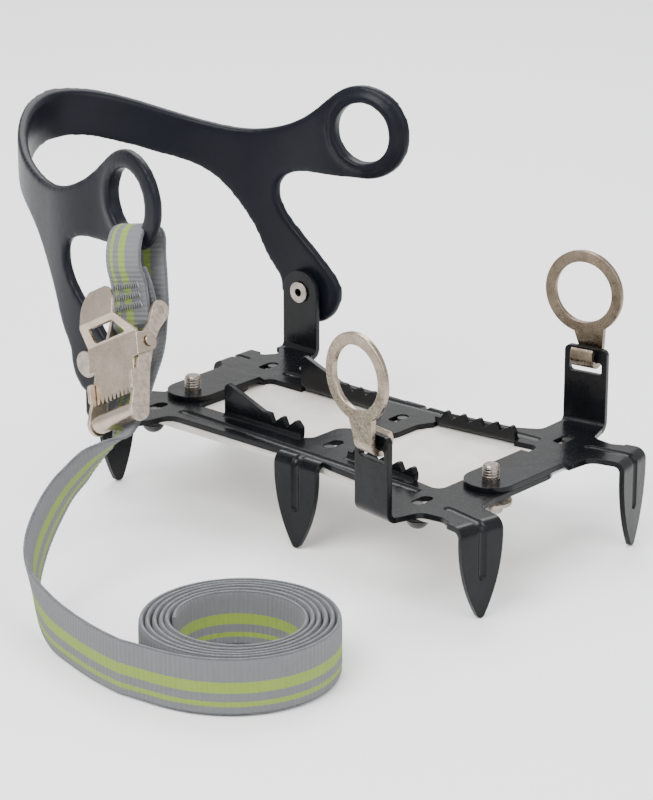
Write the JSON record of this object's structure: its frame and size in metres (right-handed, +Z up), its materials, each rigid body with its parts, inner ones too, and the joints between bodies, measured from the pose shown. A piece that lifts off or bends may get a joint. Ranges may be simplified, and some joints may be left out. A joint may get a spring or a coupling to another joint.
{
  "type": "crampons",
  "caption": "Universal crampon with two sliding steel half frames, spikes, toe rings, pivoting heel strap, webbing and cam buckle.",
  "frame": {"origin": "on the symmetry plane, level with the spike tips, midway along the frame between the middle spikes", "axes": "+X towards the toe, +Y to the crampon's left side, +Z up"},
  "size_m": [0.2513, 0.2384, 0.1417],
  "materials": {
    "coated_steel": "gloss black e-coat",
    "strap_elastomer": "satin moulded elastomer",
    "nickel": "warm nickel plate, brushed",
    "plated_steel": "zinc-nickel plate",
    "snow_plate": "off-white moulded plastic",
    "clip_plastic": "black nylon",
    "webbing": "woven polyester, grey with lime stripes"
  },
  "bodies": {
    "right_frame": {"right_half_frame": "coated_steel", "right_heel_rivet": "plated_steel", "right_rivet_washer": "plated_steel", "strap_tail": "webbing", "strap_coil": "webbing"},
    "snow_plate": {"anti_balling_plate": "snow_plate", "plate_clips": "clip_plastic"},
    "left_frame": {"left_half_frame": "coated_steel", "rear_clamp_bolt": "plated_steel", "front_clamp_bolt": "plated_steel", "rear_washer": "plated_steel", "front_washer": "plated_steel", "left_heel_rivet": "plated_steel", "left_rivet_washer": "plated_steel"},
    "right_ring": {"right_toe_ring": "nickel"},
    "left_ring": {"left_toe_ring": "nickel"},
    "heel_right": {"heel_strap_right": "strap_elastomer", "right_lug_bush": "plated_steel", "strap_loop": "webbing", "buckle_right_side": "nickel", "buckle_left_side": "nickel", "buckle_top_bar": "nickel", "buckle_roller": "nickel", "buckle_pivot_pin": "nickel", "buckle_spring": "nickel"},
    "heel_left": {"heel_strap_left": "strap_elastomer", "left_lug_bush": "plated_steel"},
    "lever": {"buckle_lever": "nickel"}
  },
  "joints": [
    {"name": "width_slide", "type": "slide", "parent": "right_frame", "child": "left_frame", "axis": [0, 1, 0], "range_m": [0, 0.009]},
    {"name": "plate_float", "type": "slide", "parent": "right_frame", "child": "snow_plate", "axis": [0, 1, 0], "range_m": [0, 0.0045]},
    {"name": "heel_hinge", "type": "hinge", "parent": "right_frame", "child": "heel_right", "pos_m": [-0.0795, -0.057, 0.0575], "axis": [0, 1, 0], "range_deg": [-20, 25], "deforming": ["strap_tail"]},
    {"name": "heel_stretch", "type": "slide", "parent": "heel_right", "child": "heel_left", "axis": [0, 1, 0], "range_m": [0, 0.009]},
    {"name": "left_ring_hinge", "type": "hinge", "parent": "left_frame", "child": "left_ring", "pos_m": [0.05403, 0.05946, 0.0605], "axis": [-0.9877, -0.1564, 0], "range_deg": [-75, 80]},
    {"name": "right_ring_hinge", "type": "hinge", "parent": "right_frame", "child": "right_ring", "pos_m": [0.05403, -0.05946, 0.0605], "axis": [0.9877, -0.1564, 0], "range_deg": [-75, 80]},
    {"name": "lever_hinge", "type": "hinge", "parent": "heel_right", "child": "lever", "pos_m": [-0.04211, -0.08007, 0.07545], "axis": [-0.8824, 0.0025, -0.4706], "range_deg": [0, 18], "stiffness_Nm_per_rad": 0.02}
  ],
  "couplings": [
    {"joint": "plate_float", "follows": "width_slide", "ratio": 0.5},
    {"joint": "heel_stretch", "follows": "width_slide", "ratio": 1}
  ]
}
